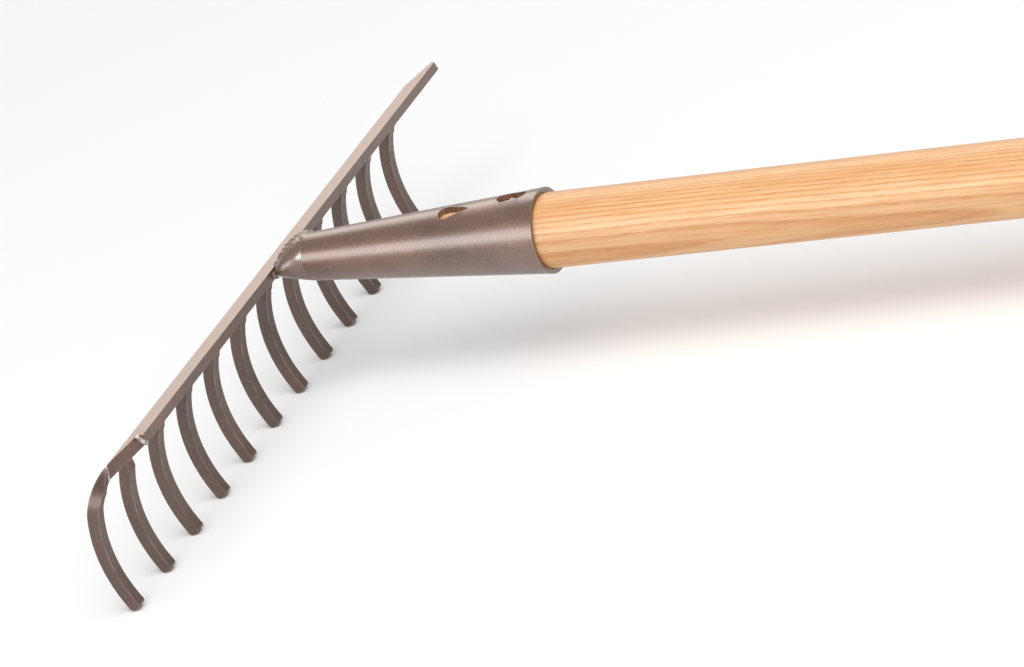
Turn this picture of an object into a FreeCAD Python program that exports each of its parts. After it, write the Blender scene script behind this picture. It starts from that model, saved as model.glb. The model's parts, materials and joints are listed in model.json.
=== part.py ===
import FreeCAD, Part
import math
import os
import Sketcher

# Level-head garden rake: a flat steel bar with curved tines, a conical socket
# welded to the front of the bar, and a round ash handle.
#
# Everything is drawn in the head's own frame, in millimetres:
#   X runs along the bar, and tine 1 is at the +X end
#   Y runs towards the handle, and the front face of the bar is at Y = 0
#   Z is up, and the underside of the bar is at Z = 0
# The last step lays the whole rake on the floor, on its tine tips and on the
# far end of its handle, with the origin under the middle of its outline.

V = FreeCAD.Vector
X_AXIS = V(1, 0, 0)
Y_AXIS = V(0, 1, 0)
TINE_COUNT = 12

DIMENSIONS = [
    ("tine_pitch", 25.0, "centre to centre"),
    ("tine_width", 4.4, "along the bar"),
    ("tine_depth", 4.5, "front to back"),
    ("tine_radius", 52.4, "curve of the tine's centre line"),
    ("tine_lean", 13.0, "degrees off vertical where it leaves the bar, backwards"),
    ("tine_sweep", 51.4, "degrees of curve from bar to tip"),
    ("tine_root_set", 2.35, "centre line behind the front of the bar"),
    ("tip_round", 1.3, "edge radius at the tip"),
    ("root_fillet", 2.4, "web in the corner between tine and bar"),
    ("web_margin", 0.3, "web set in from the front and back of the tine"),
    ("end_tine_back", 1.1, "how far tine 1 stands behind the others"),
    ("bar_height", 5.0, ""),
    ("bar_depth", 4.4, "front to back"),
    ("bar_near_end", 151.0, "X where the end tine starts"),
    ("bar_far_end", 163.5, "distance of the bare end from the middle"),
    ("far_end_slant", 3.6, "how much shorter the top of the bare end is"),
    ("far_taper_length", 25.0, "thinned stretch at the bare end"),
    ("far_taper_depth", 4.1, ""),
    ("relief_start", 129.0, "X where the front of the bar is cut back"),
    ("relief_step", 0.7, "depth of the cut where it starts"),
    ("relief_angle", 6.5, "degrees that the cut runs backwards along the bar"),
    ("relief_lean", 15.5, "degrees that the cut leans backwards upwards"),
    ("relief_slant", 4.0, "lean of the step along the bar"),
    ("end_tine_blend", 8.0, "run over which tine 1 comes forward of the bar's end"),
    ("shoulder_radius", 12.5, "outside of the bend into tine 1"),
    ("shoulder_inner", 6.0, "inside of the bend into tine 1"),
    ("socket_rise", 12.0, "degrees that the handle rises from the head"),
    ("socket_base", 4.2, "height of the handle's axis at the bar"),
    ("socket_length", 113.0, "bar to mouth along the axis"),
    ("neck_start", 13.5, "where the pinched foot becomes round"),
    ("neck_radius", 9.1, ""),
    ("mouth_radius", 16.0, ""),
    ("socket_wall", 1.8, ""),
    ("bore_start", 24.0, ""),
    ("foot_width", 19.4, "pinched end, along the bar"),
    ("foot_aside", -1.6, "middle of the pinched end, along the bar"),
    ("foot_waist_width", 25.0, "pinched end where it is widest"),
    ("foot_waist_height", 13.0, ""),
    ("foot_waist_lift", 1.9, "middle of the waist above the handle's axis at the bar"),
    ("foot_waist_out", 5.0, "in front of the bar"),
    ("fold_width", 1.5, "half the width of a fold on top of the foot"),
    ("handle_radius", 14.0, ""),
    ("handle_start", 26.0, "inside the socket"),
    ("handle_end", 1500.0, "bar to free end along the axis"),
    ("handle_end_round", 7.0, ""),
    ("handle_gap", 0.25, "wood to steel inside the socket"),
    ("nail_place", 60.0, "along the axis, on the underside"),
    ("nail_radius", 1.4, ""),
    ("nail_head_radius", 3.2, ""),
    ("nail_side", 32.0, "degrees round the handle from the underside, away from tine 1"),
    ("nail_length", 17.0, ""),
    ("nail_stand", 0.35, "underside of the head off the socket"),
    ("nail_head_height", 1.4, ""),
    ("nail_clearance", 0.1, "round the nail, in the steel"),
    ("drop_place", 75.4, "along the axis to the teardrop's round end"),
    ("drop_aside", 2.2, "off the axis, towards tine 1"),
    ("drop_radius", 3.4, ""),
    ("drop_length", 9.2, "round end's centre to the teardrop's point"),
    ("lobes_aside", -1.1, "off the axis, away from tine 1"),
    ("lobe_large_place", 99.5, "along the axis"),
    ("lobe_large_radius", 3.7, ""),
    ("lobe_small_place", 105.0, "along the axis"),
    ("lobe_small_radius", 2.8, ""),
    ("end_weld_radius", 0.6, "drops of weld metal"),
    ("step_weld_radius", 0.95, "drops of weld metal"),
    ("socket_weld_radius", 1.1, "drops of weld metal"),
]

doc = FreeCAD.newDocument("GardenRake")
sheet = doc.addObject("Spreadsheet::Sheet", "Dimensions")
for row, (alias, value, note) in enumerate(DIMENSIONS, start=1):
    sheet.set("A%d" % row, alias)
    sheet.set("B%d" % row, str(value))
    sheet.set("C%d" % row, note)
    sheet.setAlias("B%d" % row, alias)
doc.recompute()


def size(alias):
    return float(sheet.get(alias))


def bind(feature, prop, formula):
    """Bind a property to a formula whose $names are cells of the sheet."""
    feature.setExpression(prop, formula.replace("$", "Dimensions."))


# ---------------------------------------------------------------- helpers

def new_body(name):
    body = doc.addObject("PartDesign::Body", name)
    body.Label = name
    return body


def worth(formula):
    value = sheet.evalExpression(formula.replace("$", ""))
    return float(getattr(value, "Value", value))


def new_sketch(body, name, plane, turn=(X_AXIS, "0"), shift=("0", "0", "0")):
    """A sketch on one of the body's own origin planes, turned and shifted."""
    sketch = body.newObject("Sketcher::SketchObject", body.Name + "_" + name)
    origin_plane = [f for f in body.Origin.OriginFeatures if f.Role == plane][0]
    sketch.AttachmentSupport = [(origin_plane, "")]
    sketch.MapMode = "FlatFace"
    axis, angle = turn
    sketch.AttachmentOffset = FreeCAD.Placement(V(), FreeCAD.Rotation(axis, 1.0))
    bind(sketch, "AttachmentOffset.Rotation.Angle", angle)
    for name, formula in zip("xyz", shift):
        bind(sketch, "AttachmentOffset.Base." + name, formula)
    return sketch


def add_outline(sketch, corners):
    """Closed polygon. Each corner is a pair of formulas on the sheet."""
    points = [V(worth(x), worth(y), 0) for x, y in corners]
    count = len(points)
    for k in range(count):
        sketch.addGeometry(Part.LineSegment(points[k], points[(k + 1) % count]))
    for k in range(count):
        sketch.addConstraint(Sketcher.Constraint("Coincident", k, 2, (k + 1) % count, 1))
    for k, corner in enumerate(corners):
        for kind, formula in zip(("DistanceX", "DistanceY"), corner):
            value = worth(formula)
            index = sketch.addConstraint(Sketcher.Constraint(kind, -1, 1, k, 1, value))
            bind(sketch, "Constraints[%d]" % index, formula)


def pad(body, sketch, formula, flip=False):
    feature = body.newObject("PartDesign::Pad", sketch.Name + "_pad")
    feature.Profile = sketch
    feature.Reversed = flip
    bind(feature, "Length", formula)
    doc.recompute()
    return feature


def pocket(body, sketch, flip=False, both_sides=False):
    """A cut that must take something away: one that points wrongly cuts nothing."""
    doc.recompute()
    before = body.Shape.Volume
    feature = body.newObject("PartDesign::Pocket", sketch.Name + "_cut")
    feature.Profile = sketch
    feature.Reversed = flip
    feature.Midplane = both_sides
    feature.Length = CUT_REACH
    doc.recompute()
    if feature.Shape.Volume > before - 0.01:
        raise RuntimeError(feature.Name + " cuts nothing")
    return feature


def revolve(body, sketch, formula):
    feature = body.newObject("PartDesign::Revolution", sketch.Name + "_turned")
    feature.Profile = sketch
    feature.ReferenceAxis = (sketch, ["H_Axis"])
    bind(feature, "Angle", formula)
    doc.recompute()
    return feature


def fillet(body, base, names, formula):
    feature = body.newObject("PartDesign::Fillet", base.Name + "_round")
    feature.Base = (base, names)
    bind(feature, "Radius", formula)
    doc.recompute()
    return feature


def edge_near(shape, point, reach=0.6):
    """Names of the edges whose middle lies near a point."""
    return ["Edge%d" % (k + 1) for k, edge in enumerate(shape.Edges)
            if (edge.CenterOfMass - point).Length < reach]


def on_axis(along):
    """Formulas for a point on the handle's axis, measured from the bar."""
    return ("0", "(%s) * cos($socket_rise * 1deg)" % along,
            "$socket_base + (%s) * sin($socket_rise * 1deg)" % along)


def place(item, axis, angle, base):
    """Put a primitive where formulas on the sheet say."""
    item.Placement = FreeCAD.Placement(V(), FreeCAD.Rotation(axis, 1.0))
    bind(item, "Placement.Rotation.Angle", angle)
    for name, formula in zip("xyz", base):
        bind(item, "Placement.Base." + name, formula)


def primitive(kind, name, **formulas):
    item = doc.addObject(kind, name)
    for prop, formula in formulas.items():
        bind(item, prop, formula)
    return item


def join(name, items):
    fused = doc.addObject("Part::MultiFuse", name)
    fused.Shapes = items
    return fused


def cut(name, base, tool):
    result = doc.addObject("Part::Cut", name)
    result.Base = base
    result.Tool = tool
    doc.recompute()
    return result


# ---------------------------------------------------------------- the tines

CUT_REACH = 90.0
ROOT_OVERRUN = 9.0      # degrees of curve above the bar's underside, trimmed off again
CENTRE_Y = "$tine_radius * cos($tine_lean * 1deg) - $tine_root_set"
CENTRE_Z = "-$tine_radius * sin($tine_lean * 1deg)"


def tine_curve(body, left, right, back="0"):
    """Rectangle turned about an axis that lies in front of the bar."""
    section = new_sketch(body, "section", "XY_Plane",
                         (X_AXIS, "180 - $tine_lean - %g" % ROOT_OVERRUN),
                         ("0", CENTRE_Y + " - " + back, CENTRE_Z))
    near = "$tine_radius - $tine_depth / 2"
    away = "$tine_radius + $tine_depth / 2"
    add_outline(section, [(left, near), (right, near), (right, away), (left, away)])
    return revolve(body, section, "$tine_sweep + %g" % ROOT_OVERRUN)


def trim_above(body, left, right, level):
    """Cut off what stands above a level, so that the tine butts against the bar."""
    block = new_sketch(body, "trim", "XY_Plane", shift=("0", "0", level))
    add_outline(block, [(left, "-20"), (right, "-20"), (right, "20"), (left, "20")])
    return pocket(body, block, flip=True)


def tip_point(offset):
    """Middle of the front or back edge of a tine's end, in the YZ plane."""
    angle = math.radians(180 - size("tine_lean") + size("tine_sweep"))
    radius = size("tine_radius") + offset
    centre_y = worth(CENTRE_Y)
    centre_z = worth(CENTRE_Z)
    return centre_y + radius * math.cos(angle), centre_z + radius * math.sin(angle)


def round_tip(body, number, back=0.0):
    """Round the front and back edges of a tine's end."""
    middle = worth(tine_x(number))
    base = body.Tip
    names = []
    for side in (-1, 1):
        y, z = tip_point(side * size("tine_depth") / 2)
        names += edge_near(base.Shape, V(middle, y - back, z))
    return fillet(body, base, names, "$tip_round")


def tine_x(number):
    return "%g * $tine_pitch" % (7.5 - number)


def make_plain_tine(number):
    """A tine under the bar, with a web in the corner on its far side."""
    body = new_body("tine_%02d" % number)
    left = tine_x(number) + " - $tine_width / 2"
    right = tine_x(number) + " + $tine_width / 2"
    tine_curve(body, left, right)
    trim_above(body, left + " - 1", right + " + 1", "0")
    if number == 2:
        cut_relief(body, "0", "-8")
    round_tip(body, number)
    front = "$web_margin" if number > 2 else "$web_margin * 2 + $relief_step * 2"
    web = new_sketch(body, "web", "XZ_Plane", shift=("0", "0", front))
    inner = left + " + 1"
    add_outline(web, [(inner, "0"), (left + " - $root_fillet", "0"),
                      (left + " - $root_fillet * 0.3", "-$root_fillet * 0.3"),
                      (left, "-$root_fillet"), (inner, "-$root_fillet")])
    pad(body, web, "$tine_depth - $web_margin - " + front)
    return body


BAR_END_FRONT = "-$relief_step - ($bar_near_end - $relief_start) * tan($relief_angle * 1deg)"


def make_end_tine(number):
    """The outermost tine, which bends round from the end of the bar."""
    body = new_body("tine_%02d" % number)
    outer = tine_x(number) + " + $tine_width / 2"
    inner = tine_x(number) + " - $tine_width / 2"
    tine_curve(body, "$bar_near_end", outer, "$end_tine_back")
    trim_above(body, "$bar_near_end - 1", outer + " + 1", "$bar_height")
    throat = new_sketch(body, "throat", "XZ_Plane")
    add_outline(throat, [("$bar_near_end - 5", "0"), (inner, "0"),
                         (inner, "-70"), ("$bar_near_end - 5", "-70")])
    pocket(body, throat, both_sides=True)
    round_corner(body, worth(inner), 0.0, "$shoulder_inner")
    round_corner(body, worth(outer), size("bar_height"), "$shoulder_radius")
    blend = new_sketch(body, "blend", "XY_Plane")
    add_outline(blend, [("$bar_near_end - 1", BAR_END_FRONT), ("$bar_near_end", BAR_END_FRONT),
                        ("$bar_near_end + $end_tine_blend", "-$end_tine_back"),
                        ("$bar_near_end + $end_tine_blend", "$bar_depth"),
                        ("$bar_near_end - 1", "$bar_depth")])
    pocket(body, blend, both_sides=True)
    round_tip(body, number, size("end_tine_back"))
    return body


def round_corner(body, x, z, formula):
    """Round the edge that runs front to back through a point of the outline."""
    base = body.Tip
    names = ["Edge%d" % (k + 1) for k, edge in enumerate(base.Shape.Edges)
             if abs(edge.CenterOfMass.x - x) < 0.1 and abs(edge.CenterOfMass.z - z) < 0.1]
    return fillet(body, base, names, formula)


# ---------------------------------------------------------------- the bar

def cut_relief(body, start, bottom):
    """Hollow the front away towards tine 1, along one plane that leans back."""
    across = V(size("relief_lean"), -size("relief_angle"), 0)
    angle = "sqrt($relief_lean * $relief_lean + $relief_angle * $relief_angle)"
    relief = new_sketch(body, "relief", "XZ_Plane", (across, angle),
                        ("$relief_start", "0", "$relief_step"))
    run = "$bar_near_end - $relief_start + $shoulder_radius * 2"
    slant = start + " + $relief_slant"
    add_outline(relief, [(start, bottom), (run, bottom), (run, "$bar_height + 2"),
                         (slant, "$bar_height + 2")])
    return pocket(body, relief)


def make_bar():
    body = new_body("head_bar")
    outline = new_sketch(body, "outline", "XZ_Plane")
    add_outline(outline, [("$bar_near_end", "0"), ("$bar_near_end", "$bar_height"),
                          ("$far_end_slant - $bar_far_end", "$bar_height"),
                          ("-$bar_far_end", "0")])
    pad(body, outline, "$bar_depth")
    taper = new_sketch(body, "taper", "XY_Plane")
    add_outline(taper, [("$far_taper_length - $bar_far_end", "-$bar_depth"),
                        ("-$bar_far_end - 1", "$far_taper_depth - $bar_depth"),
                        ("-$bar_far_end - 1", "-$bar_depth - 1"),
                        ("$far_taper_length - $bar_far_end", "-$bar_depth - 1")])
    pocket(body, taper, both_sides=True)
    cut_relief(body, "-$relief_slant", "-1")
    return body


# ---------------------------------------------------------------- the socket

AXIS_TURN = "$socket_rise - 90"


def make_socket(bar):
    """Tube pinched flat at the bar, round and widening to the mouth."""
    pinch = primitive("Part::Ellipse", "socket_pinch",
                      MajorRadius="$foot_width / 2", MinorRadius="$bar_height / 2")
    place(pinch, X_AXIS, "90", ("$foot_aside", "0", "$bar_height / 2"))
    waist = primitive("Part::Ellipse", "socket_waist",
                      MajorRadius="$foot_waist_width / 2", MinorRadius="$foot_waist_height / 2")
    place(waist, X_AXIS, "90", ("$foot_aside / 2", "$foot_waist_out",
                                "$socket_base + $foot_waist_lift"))
    neck = primitive("Part::Circle", "socket_neck", Radius="$neck_radius")
    place(neck, X_AXIS, "$socket_rise + 90", on_axis("$neck_start"))
    foot = doc.addObject("Part::Loft", "socket_foot")
    foot.Sections = [pinch, waist, neck]
    foot.Solid = True
    outside = primitive("Part::Cone", "socket_outside", Radius1="$neck_radius",
                        Radius2="$mouth_radius", Height="$socket_length - $neck_start")
    place(outside, X_AXIS, AXIS_TURN, on_axis("$neck_start"))
    bore = primitive("Part::Cone", "socket_bore",
                     Radius1="$neck_radius - $socket_wall + 0.4",
                     Radius2="$mouth_radius - $socket_wall",
                     Height="$socket_length - $bore_start")
    place(bore, X_AXIS, AXIS_TURN, on_axis("$bore_start"))
    tube = join("socket_tube", [foot, outside])
    doc.recompute()
    blank = join("socket_blank", [tube, cut("folds", make_folds(tube), bar)])
    nail_way = make_nail_hole("socket", "$nail_clearance")
    voids = join("socket_voids", [bore] + make_cutouts() + [nail_way])
    socket = cut("socket", blank, voids)
    socket.Label = "socket"
    return socket


FOLD_REACH = 9.5        # how far in front of the bar the folds end
FOLD_DROPS = 5
FOLD_PLACES = [(-9.2, -7.2, 1.1), (-5.6, -4.4, 0.95), (-2.2, -1.8, 1.05),
               (1.4, 1.0, 0.9), (4.6, 3.5, 1.0)]


def make_folds(tube):
    """Folds on top of the pinched end, each a row of drops from the bar outwards."""
    rows = []
    for k, (near, far, thick) in enumerate(FOLD_PLACES):
        width = size("fold_width") * thick
        points = []
        for step in range(FOLD_DROPS):
            part = step / (FOLD_DROPS - 1)
            top = surface_top(tube.Shape, near + (far - near) * part, 0.7 + FOLD_REACH * part)
            points.append(top - V(0, 0, width * (0.6 + 0.35 * part)))
        rows.append(bead("fold_%d" % (k + 1), points, width))
    return join("fold_metal", rows)


def surface_top(shape, x, y):
    """Highest point of a shape above a place."""
    line = Part.makeLine(V(x, y, -50), V(x, y, 50))
    return V(x, y, shape.common(line).BoundBox.ZMax)


def make_cutouts():
    """One teardrop and one pair of overlapping round holes, through the top wall."""
    tools = []
    for name, aside in (("drop", "$drop_aside"), ("lobe_large", "$lobes_aside"),
                        ("lobe_small", "$lobes_aside")):
        punch = primitive("Part::Cylinder", name + "_punch", Radius="$%s_radius" % name,
                          Height="$mouth_radius * 2")
        place(punch, X_AXIS, "$socket_rise", beside(on_axis("$%s_place" % name), aside))
        tools.append(punch)
    point = primitive("Part::Wedge", "drop_point",
                      Xmin="-0.94 * $drop_radius", Xmax="0.94 * $drop_radius",
                      X2min="-0.12 * $drop_radius", X2max="0.12 * $drop_radius",
                      Ymin="0.24 * $drop_radius", Ymax="$drop_length",
                      Zmin="0", Zmax="$mouth_radius * 2",
                      Z2min="0", Z2max="$mouth_radius * 2")
    place(point, X_AXIS, "$socket_rise", beside(on_axis("$drop_place"), "$drop_aside"))
    return tools + [point]


def beside(base, aside):
    """The same place, moved along the bar."""
    return (aside, base[1], base[2])


# ---------------------------------------------------------------- the handle and its nail

def nail_pose(depth):
    """Place at a depth from the handle's axis, pointing out through the far underside."""
    turn = (FreeCAD.Rotation(X_AXIS, size("socket_rise"))
            * FreeCAD.Rotation(Y_AXIS, size("nail_side")) * FreeCAD.Rotation(X_AXIS, 180))
    centre = V(*[worth(formula) for formula in on_axis("$nail_place")])
    return FreeCAD.Placement(centre + turn.multVec(V(0, 0, depth)), turn)


def nail_surface():
    """Outside radius of the socket where the nail goes in."""
    return worth("$neck_radius + ($mouth_radius - $neck_radius) * ($nail_place - $neck_start)"
                 " / ($socket_length - $neck_start)")


def make_nail_hole(name, gap):
    hole = primitive("Part::Cylinder", name + "_nail_hole",
                     Radius="$nail_radius + " + gap, Height="$nail_length * 1.3")
    hole.Placement = nail_pose(nail_surface() - size("nail_length") - 1)
    return hole


def make_nail():
    shank = primitive("Part::Cylinder", "nail_shank", Radius="$nail_radius",
                      Height="$nail_length")
    shank.Placement = nail_pose(nail_surface() - size("nail_length") + size("nail_stand") * 2)
    head = primitive("Part::Cylinder", "nail_head", Radius="$nail_head_radius",
                     Height="$nail_head_height")
    head.Placement = nail_pose(nail_surface() + size("nail_stand"))
    nail = join("handle_nail", [shank, head])
    nail.Label = "handle_nail"
    doc.recompute()
    return nail


def make_handle():
    wood = new_body("handle_wood")
    profile = new_sketch(wood, "profile", "YZ_Plane", (V(0, 0, 1), "$socket_rise"),
                         ("0", "$socket_base", "0"))
    slope = ("(($mouth_radius - $neck_radius - 0.4)"
             " / ($socket_length - $bore_start))")
    bore = "$neck_radius - $socket_wall + 0.4"
    start_radius = "%s + ($handle_start - $bore_start) * %s - $handle_gap" % (bore, slope)
    taper_end = "$bore_start + ($handle_radius + $handle_gap - (%s)) / %s" % (bore, slope)
    add_outline(profile, [("$handle_start", "0"), ("$handle_end", "0"),
                          ("$handle_end", "$handle_radius"),
                          (taper_end, "$handle_radius"),
                          ("$handle_start", start_radius)])
    revolve(wood, profile, "360")
    base = wood.Tip
    rim = ["Edge%d" % (k + 1) for k, edge in enumerate(base.Shape.Edges)
           if edge.Closed and edge.BoundBox.YMin > 1000]
    fillet(wood, base, rim, "$handle_end_round")
    handle = cut("handle", wood, make_nail_hole("handle", "0"))
    handle.Label = "handle"
    return handle


# ---------------------------------------------------------------- the welds

SOCKET_WELD_DROPS = 26


def bead(name, points, radius):
    """Row of overlapping drops of weld metal."""
    drops = []
    for k, point in enumerate(points):
        drop = doc.addObject("Part::Sphere", "%s_drop_%d" % (name, k + 1))
        drop.Radius = radius * (1.0 + 0.12 * math.sin(2.1 * k))
        drop.Placement.Base = point
        drops.append(drop)
    return join(name + "_metal", drops)


def along(start, end, count, wobble=V()):
    """Points from start to end, every second one pushed aside."""
    step = (end - start) * (1.0 / (count - 1))
    return [start + step * k + wobble * (k % 2) for k in range(count)]


def make_end_weld(bar, tine):
    """Pale seams down the front: one at the end of the bar, one at the relief's step."""
    x = size("bar_near_end")
    front = worth(BAR_END_FRONT)
    top = size("bar_height")
    end_seam = along(V(x, front - 0.5, top - 0.3), V(x + 0.2, front, 0.4), 7, V(0.4, 0, 0))
    step = size("relief_start")
    lean = math.tan(math.radians(size("relief_lean"))) * top
    high = V(step, -size("relief_step") - lean * 0.6, top - 0.4)
    low = V(step - size("relief_slant") + 0.6, -size("relief_step") * 0.7, 0.4)
    step_seam = along(high, low, 7, V(0.3, 0.1, 0))
    metal = join("end_weld_metal", [bead("end_seam", end_seam, size("end_weld_radius")),
                                    bead("step_seam", step_seam, size("step_weld_radius"))])
    clear = cut("end_tine_weld_clear", metal, bar)
    weld = cut("end_tine_weld", clear, tine)
    weld.Label = "end_tine_weld"
    return weld


def make_socket_weld(bar, socket):
    """Bead round the lower side of the pinched end of the socket."""
    half = size("foot_width") / 2 + 0.6
    middle = size("bar_height") / 2
    points = []
    for k in range(SOCKET_WELD_DROPS):
        turn = math.pi * (0.93 + 1.14 * k / (SOCKET_WELD_DROPS - 1))
        across = size("foot_aside") + half * math.cos(turn)
        points.append(V(across, 0.25 + 0.2 * (k % 2), middle + (middle - 0.1) * math.sin(turn)))
    metal = bead("socket_weld", points, size("socket_weld_radius"))
    clear = cut("socket_weld_clear", metal, bar)
    weld = cut("socket_weld", clear, socket)
    weld.Label = "socket_weld"
    return weld


# ---------------------------------------------------------------- laying it down

def rest_turn():
    """Angle that brings the tine tips and the handle's free end to one level."""
    round_radius = size("tip_round")
    angle = math.radians(180 - size("tine_lean") + size("tine_sweep"))
    end_angle = angle - round_radius / size("tine_radius")
    radius = size("tine_radius") + size("tine_depth") / 2 - round_radius
    tip = V(0, worth(CENTRE_Y) + radius * math.cos(end_angle),
            worth(CENTRE_Z) + radius * math.sin(end_angle))
    rise = math.radians(size("socket_rise"))
    along_axis = size("handle_end") - size("handle_end_round")
    below = size("handle_radius") - size("handle_end_round")
    end = V(0, along_axis * math.cos(rise) + below * math.sin(rise),
            size("socket_base") + along_axis * math.sin(rise) - below * math.cos(rise))
    reach = end - tip
    drop = size("handle_end_round") - round_radius
    turn = math.asin(drop / math.hypot(reach.y, reach.z)) - math.atan2(reach.z, reach.y)
    return math.degrees(turn)


def lay_down(pieces):
    """Tip the rake onto the floor and centre it on the origin."""
    tip_over = FreeCAD.Placement(V(), FreeCAD.Rotation(X_AXIS, rest_turn()))
    solids = [piece.Shape.copy() for piece in pieces]
    for solid in solids:
        solid.Placement = tip_over.multiply(solid.Placement)
    box = Part.makeCompound(solids).optimalBoundingBox(False)
    shift = V(-(box.XMin + box.XMax) / 2, -(box.YMin + box.YMax) / 2, -box.ZMin)
    return FreeCAD.Placement(shift, FreeCAD.Rotation()).multiply(tip_over)


def main():
    bar = make_bar()
    tines = [make_end_tine(1)] + [make_plain_tine(n) for n in range(2, TINE_COUNT + 1)]
    socket = make_socket(bar)
    handle = make_handle()
    nail = make_nail()
    pieces = [bar] + tines + [socket, handle, nail, make_end_weld(bar, tines[0]),
                              make_socket_weld(bar, socket)]
    doc.recompute()
    for item in doc.Objects:
        if "Invalid" in item.State or "Error" in item.State:
            raise RuntimeError(item.Name + " failed: " + str(item.State))
    settle = lay_down(pieces)
    os.makedirs("parts", exist_ok=True)
    for piece in pieces:
        if piece.Shape.isNull() or not piece.Shape.isValid():
            raise RuntimeError(piece.Label + " is not a valid solid")
    for piece in pieces:
        solid = piece.Shape.copy()
        solid.Placement = settle.multiply(solid.Placement)
        solid.exportStep("parts/%s.step" % piece.Label)


main()
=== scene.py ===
import json
import math

import bpy
from mathutils import Matrix, Vector


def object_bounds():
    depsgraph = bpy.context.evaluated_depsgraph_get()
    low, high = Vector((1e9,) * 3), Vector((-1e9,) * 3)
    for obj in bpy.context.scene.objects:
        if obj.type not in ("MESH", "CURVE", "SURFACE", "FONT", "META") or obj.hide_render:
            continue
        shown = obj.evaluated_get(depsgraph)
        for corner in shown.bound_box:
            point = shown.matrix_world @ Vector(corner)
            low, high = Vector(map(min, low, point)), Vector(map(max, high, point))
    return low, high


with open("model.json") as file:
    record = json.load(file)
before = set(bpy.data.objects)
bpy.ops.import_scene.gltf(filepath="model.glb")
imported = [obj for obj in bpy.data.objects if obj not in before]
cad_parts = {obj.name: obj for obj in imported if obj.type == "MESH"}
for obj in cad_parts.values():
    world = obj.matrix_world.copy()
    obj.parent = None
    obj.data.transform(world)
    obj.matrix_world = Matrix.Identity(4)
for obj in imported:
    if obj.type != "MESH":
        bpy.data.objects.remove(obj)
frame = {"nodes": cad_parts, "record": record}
cad_low, cad_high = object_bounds()

MM = 0.001
NODES = frame["nodes"]
TINES = sorted(name for name in NODES if name.startswith("tine_"))
GRIP = next(mount for mount in frame["record"]["mounts"] if mount["kind"] == "pin")
AXIS = Vector(GRIP["axis"]).normalized()
AXIS_POINT = Vector(GRIP["pos_m"])


# ---------------------------------------------------------------- node helpers

MIX_INPUTS = (0, 6, 7)      # factor, colour A and colour B of a Mix node set to RGBA
MIX_RESULT = 2


class Graph:
    """A material under construction, with short calls for the nodes it uses."""

    def __init__(self, name):
        self.material = bpy.data.materials.new(name)
        self.material.use_nodes = True
        self.nodes = self.material.node_tree.nodes
        self.links = self.material.node_tree.links
        self.shader = self.nodes["Principled BSDF"]

    def add(self, kind, **inputs):
        node = self.nodes.new(kind)
        self.fill(node, inputs)
        return node

    def surface(self, **inputs):
        """Sets or links inputs of the shader, named with underscores for spaces."""
        self.fill(self.shader, inputs)

    def fill(self, node, inputs):
        for name, value in inputs.items():
            self.feed(node.inputs[name.replace("_", " ")], value)

    def feed(self, socket, value):
        if isinstance(value, bpy.types.NodeSocket):
            self.links.new(value, socket)
        else:
            socket.default_value = value

    def coordinates(self):
        return self.add("ShaderNodeTexCoord").outputs["Object"]

    def mapping(self, vector, **settings):
        return self.add("ShaderNodeMapping", Vector=vector, **settings).outputs["Vector"]

    def split(self, vector):
        return self.add("ShaderNodeSeparateXYZ", Vector=vector).outputs

    def noise(self, vector, scale, detail=3.0, roughness=0.5):
        """Noise of about 0 to 1. The scale is in cycles per metre."""
        node = self.add("ShaderNodeTexNoise", Vector=vector, Scale=scale,
                        Detail=detail, Roughness=roughness)
        return node.outputs["Fac"]

    def long_noise(self, vector, across, along, detail=3.0, roughness=0.5):
        """Noise with one scale across the pole and another along it."""
        scaled = self.mapping(vector, Scale=(across, along, across))
        return self.noise(scaled, 1.0, detail, roughness)

    def math(self, operation, a, b=0.0, c=0.0, clamp=False):
        node = self.nodes.new("ShaderNodeMath")
        node.operation = operation
        node.use_clamp = clamp
        for socket, value in zip(node.inputs, (a, b, c)):
            self.feed(socket, value)
        return node.outputs[0]

    def times(self, a, b):
        return self.math("MULTIPLY", a, b)

    def ramp(self, fac, stops):
        """Grey ramp. Each stop is a place and a grey value."""
        node = self.add("ShaderNodeValToRGB", Fac=fac)
        band = node.color_ramp
        while len(band.elements) < len(stops):
            band.elements.new(0.5)
        for element, (place, grey) in zip(band.elements, stops):
            element.position = place
            element.color = (grey, grey, grey, 1.0)
        return node.outputs["Color"]

    def mix(self, fac, a, b):
        """Colour a where fac is 0 and colour b where it is 1."""
        node = self.nodes.new("ShaderNodeMix")
        node.data_type = "RGBA"
        for index, value in zip(MIX_INPUTS, (fac, a, b)):
            if isinstance(value, tuple) and len(value) == 3:
                value = (*value, 1.0)
            self.feed(node.inputs[index], value)
        return node.outputs[MIX_RESULT]

    def bump(self, height, distance, strength, normal=None):
        """Surface relief, on top of an earlier normal where one is given."""
        node = self.add("ShaderNodeBump", Height=height, Distance=distance,
                        Strength=strength)
        if normal is not None:
            self.feed(node.inputs["Normal"], normal)
        return node.outputs["Normal"]


# ---------------------------------------------------------------- paint

PAINT_DARK = (0.090, 0.042, 0.026)
PAINT_LIGHT = (0.205, 0.106, 0.070)
# Pale metal for flecks and worn edges; on the edges it is also a painted highlight.
METAL_AND_EDGE_HIGHLIGHT = (0.48, 0.38, 0.32)
# Pale colour painted on upward faces as a painted sheen.
TOP_PAINTED_SHEEN = (0.60, 0.50, 0.44)

# Scales of the paint's noises, in cycles per metre.
CLOUD_SCALE = 45.0
GRAIN_SCALE = 1500.0
FLECK_SCALE = 3200.0
PEEL_SCALE = 520.0
RIPPLE_SCALE = 260.0
PATCH_SCALE = 160.0
CREASE_ACROSS, CREASE_ALONG = 620.0, 150.0

PEEL_HEIGHT = 0.14 * MM
GRAIN_HEIGHT = 0.05 * MM
CREASE_HEIGHT = 0.9 * MM
WELD_RIPPLE = 0.35 * MM
WEAR_RADIUS = 0.55 * MM

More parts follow.
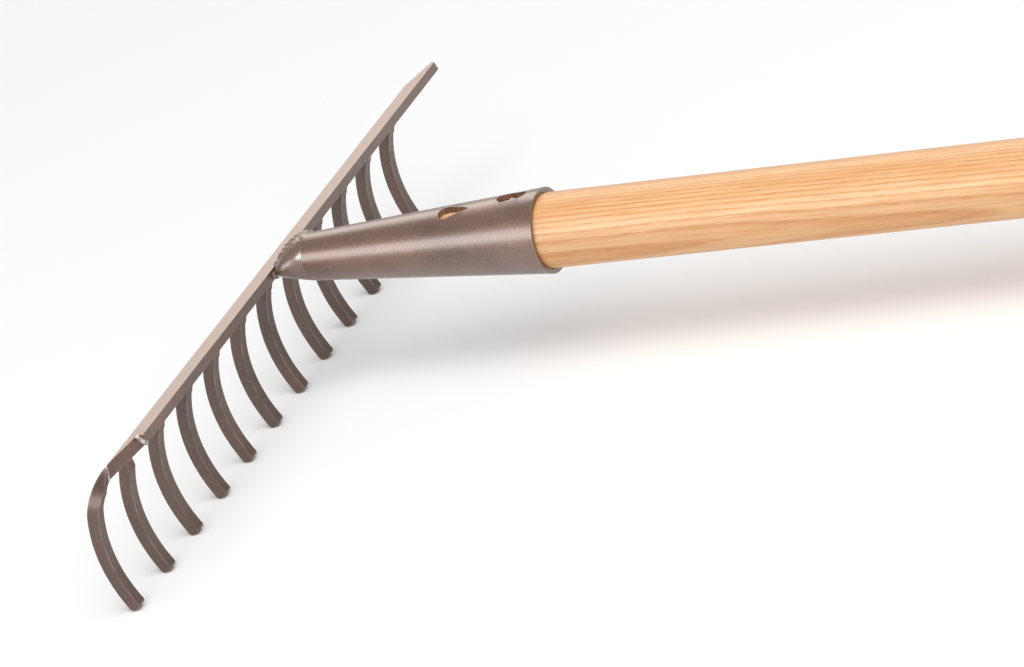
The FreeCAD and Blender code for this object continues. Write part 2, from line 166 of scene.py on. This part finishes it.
FOOT_END = cad_low.y + 26.5 * MM      # the creases have faded out here
FOOT_LENGTH = 9.0 * MM                # stretch over which they fade


# Darker copy of a colour, used for painted shade.
def darker(colour, shade):
    return tuple(channel * shade for channel in colour)


def upward(g):
    """Near 1 on faces that look straight up, which are painted paler as a painted sheen for
    the light they catch.
    """
    normal = g.add("ShaderNodeNewGeometry").outputs["Normal"]
    return g.ramp(g.split(normal)["Z"], [(0.70, 0.0), (0.93, 1.0)])


def edge_wear_and_highlight(g, place):
    """Near 1 where the surface turns sharply, broken up so that it looks worn; it marks
    edge wear and a painted edge highlight.
    """
    bevel = g.add("ShaderNodeBevel", Radius=WEAR_RADIUS)
    bevel.samples = 4
    flat = g.add("ShaderNodeNewGeometry")
    dot = g.add("ShaderNodeVectorMath")
    dot.operation = "DOT_PRODUCT"
    for socket, node in zip(dot.inputs, (bevel, flat)):
        g.feed(socket, node.outputs["Normal"])
    sharp = g.ramp(dot.outputs["Value"], [(0.80, 1.0), (0.985, 0.0)])
    patchy = g.ramp(g.noise(place, PATCH_SCALE), [(0.38, 0.15), (0.62, 1.0)])
    return g.times(sharp, patchy)


def crease_relief(g, place):
    """Lengthwise wrinkles on the pinched foot that fade out towards the cone."""
    from_end = g.math("SUBTRACT", FOOT_END, g.split(place)["Y"])
    near_foot = g.math("DIVIDE", from_end, FOOT_LENGTH, clamp=True)
    creases = g.long_noise(place, CREASE_ACROSS, CREASE_ALONG, roughness=0.6)
    return g.times(creases, near_foot)


def paint_material(name, shade=1.0, coat=0.80, rough=0.27, wear_and_highlight=0.55, top_sheen=0.0,
                   ripple=0.0, creased=False):
    """Satin metallic paint in brown grey: fine sparkle, orange peel and worn edges that
    also carry a painted highlight.

    shade darkens the paint as painted shade, coat weighs the clear layer, rough is the
    least roughness, wear_and_highlight weighs the bare edges and their painted highlight,
    top_sheen weighs the painted sheen on upward faces, ripple is the height of weld
    ripples, and creased adds wrinkles to the pinched foot.
    """
    g = Graph(name)
    place = g.coordinates()
    clouds = g.noise(place, CLOUD_SCALE, 2.0)
    grain = g.noise(place, GRAIN_SCALE, 2.0, 0.65)
    flecks = g.noise(place, FLECK_SCALE, 1.0)
    sparkle = g.ramp(flecks, [(0.60, 0.0), (0.72, 1.0)])
    wear_and_highlight_mask = edge_wear_and_highlight(g, place)

    tone = g.math("ADD", g.times(clouds, 0.45), g.times(grain, 0.55))
    # The shade argument darkens the paint: painted shade for parts that stand in shade.
    colour = g.mix(g.ramp(tone, [(0.36, 0.0), (0.64, 1.0)]),
                   darker(PAINT_DARK, shade), darker(PAINT_LIGHT, shade))
    colour = g.mix(g.times(sparkle, 0.30), colour, METAL_AND_EDGE_HIGHLIGHT)
    # Sharp edges are mixed towards pale metal: partly worn bare metal, partly a painted
    # edge highlight.
    colour = g.mix(g.times(wear_and_highlight_mask, wear_and_highlight), colour, METAL_AND_EDGE_HIGHLIGHT)
    # Upward faces are mixed towards a pale colour: a painted sheen for the light that tops
    # catch.
    if top_sheen:
        colour = g.mix(g.times(upward(g), top_sheen), colour, TOP_PAINTED_SHEEN)

    shine = g.math("ADD", g.times(sparkle, 0.10), g.times(wear_and_highlight_mask, 0.30))
    roughness = g.math("MULTIPLY_ADD", grain, 0.16, rough)
    g.surface(Base_Color=colour,
              Metallic=g.math("ADD", shine, 0.25, clamp=True),
              Roughness=g.math("MULTIPLY_ADD", clouds, 0.10, roughness),
              Specular_IOR_Level=0.6,
              Coat_Weight=coat, Coat_Roughness=0.28, Coat_IOR=1.75)

    normal = g.bump(g.noise(place, PEEL_SCALE, 3.0, 0.6), PEEL_HEIGHT, 0.75)
    normal = g.bump(grain, GRAIN_HEIGHT, 0.7, normal)
    if creased:
        normal = g.bump(crease_relief(g, place), CREASE_HEIGHT, 1.0, normal)
    if ripple:
        normal = g.bump(g.noise(place, RIPPLE_SCALE, 3.0, 0.6), ripple, 0.9, normal)
    g.surface(Normal=normal)
    return g.material


# ---------------------------------------------------------------- wood

WOOD_LIGHT = (0.790, 0.475, 0.238)
WOOD_MIDDLE = (0.665, 0.315, 0.108)
WOOD_DARK = (0.500, 0.195, 0.055)
WOOD_STREAK = (0.600, 0.250, 0.075)
PORE_DEPTH = 0.07 * MM

RING_GAP = 1.6 * MM
RING_WANDER = 7.0 * MM                          # slow bends of the rings
RING_WAVE = 0.9 * MM                            # small waves on top of them
PITH_X, PITH_Z = -31.0 * MM, 17.0 * MM          # middle of the rings, beside the pole
PITH_DRIFT_X, PITH_DRIFT_Z = 0.010, -0.004      # how it moves per metre of pole


def ring_place(g, straight):
    """Place within a growth ring, from 0 at its inner edge to 1 at its outer edge."""
    axes = g.split(straight)
    wander = g.long_noise(straight, 16.0, 3.2, 2.0)
    wave = g.long_noise(straight, 60.0, 14.0, 2.0)
    pith_x = g.math("MULTIPLY_ADD", axes["Y"], PITH_DRIFT_X, PITH_X)
    pith_z = g.math("MULTIPLY_ADD", axes["Y"], PITH_DRIFT_Z, PITH_Z)
    across = g.math("SUBTRACT", axes["X"], pith_x)
    up = g.math("SUBTRACT", axes["Z"], pith_z)
    radius = g.math("SQRT", g.math("ADD", g.times(across, across), g.times(up, up)))
    radius = g.math("MULTIPLY_ADD", wander, RING_WANDER, radius)
    radius = g.math("MULTIPLY_ADD", wave, RING_WAVE, radius)
    return g.math("FRACT", g.math("DIVIDE", radius, RING_GAP))


def wood_material(name):
    """Waxed ash: growth rings with open pores, fine streaks and warm patches."""
    g = Graph(name)
    tilt = math.atan2(AXIS.z, AXIS.y)
    centred = g.mapping(g.coordinates(), Location=tuple(-AXIS_POINT))
    straight = g.mapping(centred, Rotation=(-tilt, 0.0, 0.0))

    early = g.ramp(ring_place(g, straight),
                   [(0.0, 0.75), (0.10, 0.70), (0.42, 0.10), (0.90, 0.0), (1.0, 0.7)])
    fibres = g.long_noise(straight, 1500.0, 42.0, 3.0, 0.6)
    pores = g.long_noise(straight, 3000.0, 110.0, 1.0)
    warmth = g.long_noise(straight, 55.0, 9.0, 3.0, 0.6)
    pore_mask = g.times(g.ramp(pores, [(0.48, 0.0), (0.58, 1.0)]), early)
    streaks = g.ramp(fibres, [(0.44, 0.0), (0.64, 1.0)])
    patches = g.ramp(warmth, [(0.50, 0.0), (0.68, 1.0)])

    colour = g.mix(early, WOOD_LIGHT, WOOD_MIDDLE)
    colour = g.mix(g.times(pore_mask, 0.90), colour, WOOD_DARK)
    colour = g.mix(g.times(streaks, 0.50), colour, WOOD_STREAK)
    colour = g.mix(g.times(patches, 0.45), colour, WOOD_MIDDLE)
    relief = g.math("SUBTRACT", g.times(fibres, 0.5), pore_mask)
    g.surface(Base_Color=colour,
              Roughness=g.math("MULTIPLY_ADD", fibres, 0.22, 0.30),
              Coat_Weight=0.12, Coat_Roughness=0.25,
              Normal=g.bump(relief, PORE_DEPTH, 0.6))
    return g.material


# ---------------------------------------------------------------- nail, seam and floor

NAIL_DARK = (0.30, 0.29, 0.28)
NAIL_LIGHT = (0.62, 0.60, 0.58)
SEAM_DARK = (0.52, 0.46, 0.42)
SEAM_LIGHT = (0.86, 0.81, 0.77)
FLOOR_DARK = (0.885, 0.885, 0.885)
FLOOR_LIGHT = (0.905, 0.905, 0.905)


def nail_material(name):
    """Plain drawn steel."""
    g = Graph(name)
    grain = g.noise(g.coordinates(), 900.0)
    g.surface(Base_Color=g.mix(grain, NAIL_DARK, NAIL_LIGHT),
              Metallic=1.0,
              Roughness=g.math("MULTIPLY_ADD", grain, 0.25, 0.28),
              Normal=g.bump(grain, 0.05 * MM, 0.5))
    return g.material


def seam_material(name):
    """Pale weld metal where the paint is thin, its paleness partly a painted highlight,
    with brown left in the dips.
    """
    g = Graph(name)
    place = g.coordinates()
    grain = g.noise(place, 1400.0, 3.0, 0.6)
    left = g.ramp(g.noise(place, 520.0, 2.0), [(0.40, 1.0), (0.56, 0.0)])
    # The pale bare metal also stands in for a painted highlight on the seam.
    bare_and_highlight = g.mix(grain, SEAM_DARK, SEAM_LIGHT)
    g.surface(Base_Color=g.mix(g.times(left, 0.8), bare_and_highlight, PAINT_LIGHT),
              Metallic=0.10,
              Roughness=g.math("MULTIPLY_ADD", grain, 0.25, 0.42),
              Normal=g.bump(grain, 0.08 * MM, 0.7))
    return g.material


def floor_material(name):
    """Matt white with a very slight mottle."""
    g = Graph(name)
    mottle = g.noise(g.coordinates(), 1.3, 2.0)
    g.surface(Base_Color=g.mix(mottle, FLOOR_DARK, FLOOR_LIGHT),
              Roughness=0.85, Specular_IOR_Level=0.2)
    return g.material


def dress(names, material):
    for name in names:
        mesh = NODES[name].data
        mesh.materials.clear()
        mesh.materials.append(material)


dress(["socket"], paint_material("socket_paint_look", creased=True))
# The bar's copy of the paint is darkened a little as painted shade, and its upward faces
# get a painted sheen.
dress(["head_bar"], paint_material("bar_paint_look", shade=0.88, coat=0.16, top_sheen=0.39))
# The tines' copy is darkened much more as painted shade, and its edges carry a strong
# painted highlight.
dress(TINES, paint_material("tine_paint_look", shade=0.58, coat=0.28, rough=0.38,
                            wear_and_highlight=0.95))
dress(["socket_weld"], paint_material("socket_weld_look", ripple=WELD_RIPPLE))
dress(["end_tine_weld"], seam_material("end_seam_look"))
dress(["handle"], wood_material("ash_look"))
dress(["handle_nail"], nail_material("nail_look"))


# ---------------------------------------------------------------- soft edges

SHARP_ANGLE = 35.0      # edges that turn by more than this are rounded, in degrees


def soften(name, width):
    """Rounded sharp edges, as a modifier, so that the CAD mesh stays as it is."""
    bevel = NODES[name].modifiers.new("soft_edges", "BEVEL")
    bevel.width = width
    bevel.segments = 3
    bevel.limit_method = "ANGLE"
    bevel.angle_limit = math.radians(SHARP_ANGLE)


for tine in TINES:
    soften(tine, 0.65 * MM)
soften("head_bar", 0.40 * MM)
soften("socket", 0.50 * MM)


# ---------------------------------------------------------------- floor, light and camera

FLOOR_REACH = 14.0      # from the middle to each side, in metres
WORLD_STRENGTH = 0.45
HEAD = Vector((0.0, cad_low.y + 0.012, 0.045))      # middle of the bar
BESIDE_POLE = HEAD + Vector((0.1, 0.35, 0.0))

CAMERA_AIM = Vector((-0.0006, -0.66102, 0.00659))
CAMERA_HEADING = 59.98      # from the object, measured from +Y towards +X
CAMERA_HEIGHT = 24.01       # degrees above the floor
CAMERA_ROLL = 20.30
CAMERA_DISTANCE = 1.8216
CAMERA_LENS = 172.37
SENSOR_WIDTH = 36.0
CLIP_NEAR, CLIP_FAR = 0.05, 60.0


def add_item(name, data):
    item = bpy.data.objects.new(name, data)
    bpy.context.scene.collection.objects.link(item)
    return item


def add_floor():
    r = FLOOR_REACH
    mesh = bpy.data.meshes.new("floor")
    mesh.from_pydata([(-r, -r, 0), (r, -r, 0), (r, r, 0), (-r, r, 0)], [], [(0, 1, 2, 3)])
    mesh.materials.append(floor_material("floor_look"))
    floor = add_item("floor", mesh)
    floor.location.z = cad_low.z


def direction(heading, elevation):
    """Unit vector. Heading 0 is +Y and 90 is +X, in degrees."""
    h, e = math.radians(heading), math.radians(elevation)
    return Vector((math.sin(h) * math.cos(e), math.cos(h) * math.cos(e), math.sin(e)))


def add_softbox(name, aim, heading, elevation, distance, width, height, watts,
                tint=(1.0, 1.0, 1.0), diffuse=True, glossy=True):
    """Rectangular lamp turned to its aim, for diffuse light, for highlights or for both."""
    light = bpy.data.lights.new(name, "AREA")
    light.shape = "RECTANGLE"
    light.size, light.size_y = width, height
    light.energy = watts
    light.color = tint
    lamp = add_item(name, light)
    lamp.location = aim + direction(heading, elevation) * distance
    lamp.rotation_mode = "QUATERNION"
    lamp.rotation_quaternion = (aim - lamp.location).to_track_quat("-Z", "Y")
    lamp.visible_camera = False
    lamp.visible_diffuse = diffuse
    lamp.visible_glossy = glossy


def add_world():
    world = bpy.data.worlds.new("studio")
    world.use_nodes = True
    background = world.node_tree.nodes["Background"]
    background.inputs["Color"].default_value = (1.0, 1.0, 1.0, 1.0)
    background.inputs["Strength"].default_value = WORLD_STRENGTH
    bpy.context.scene.world = world


def add_camera():
    data = bpy.data.cameras.new("camera")
    data.sensor_width = SENSOR_WIDTH
    data.lens = CAMERA_LENS
    data.clip_start, data.clip_end = CLIP_NEAR, CLIP_FAR
    camera = add_item("camera", data)
    back = direction(CAMERA_HEADING, CAMERA_HEIGHT)
    level = (-back).to_track_quat("-Z", "Y")
    roll = Matrix.Rotation(math.radians(-CAMERA_ROLL), 4, "Z").to_quaternion()
    camera.rotation_mode = "QUATERNION"
    camera.rotation_quaternion = level @ roll
    camera.location = CAMERA_AIM + back * CAMERA_DISTANCE
    bpy.context.scene.camera = camera


add_floor()
add_world()
add_softbox("far_box", HEAD, heading=-104.0, elevation=36.0, distance=1.6,
            width=1.9, height=0.9, watts=14.0, tint=(1.0, 0.93, 0.87), diffuse=False)
add_softbox("near_box", HEAD, heading=110.0, elevation=23.0, distance=1.3,
            width=1.6, height=0.66, watts=15.5, diffuse=False)
add_softbox("front_box", HEAD, heading=44.0, elevation=26.0, distance=1.6,
            width=0.35, height=0.35, watts=15.0, diffuse=False)
add_softbox("top_fill", BESIDE_POLE, heading=66.0, elevation=64.0, distance=2.8,
            width=4.0, height=4.0, watts=108.0, glossy=False)
add_camera()
bpy.context.scene.view_settings.view_transform = "Standard"
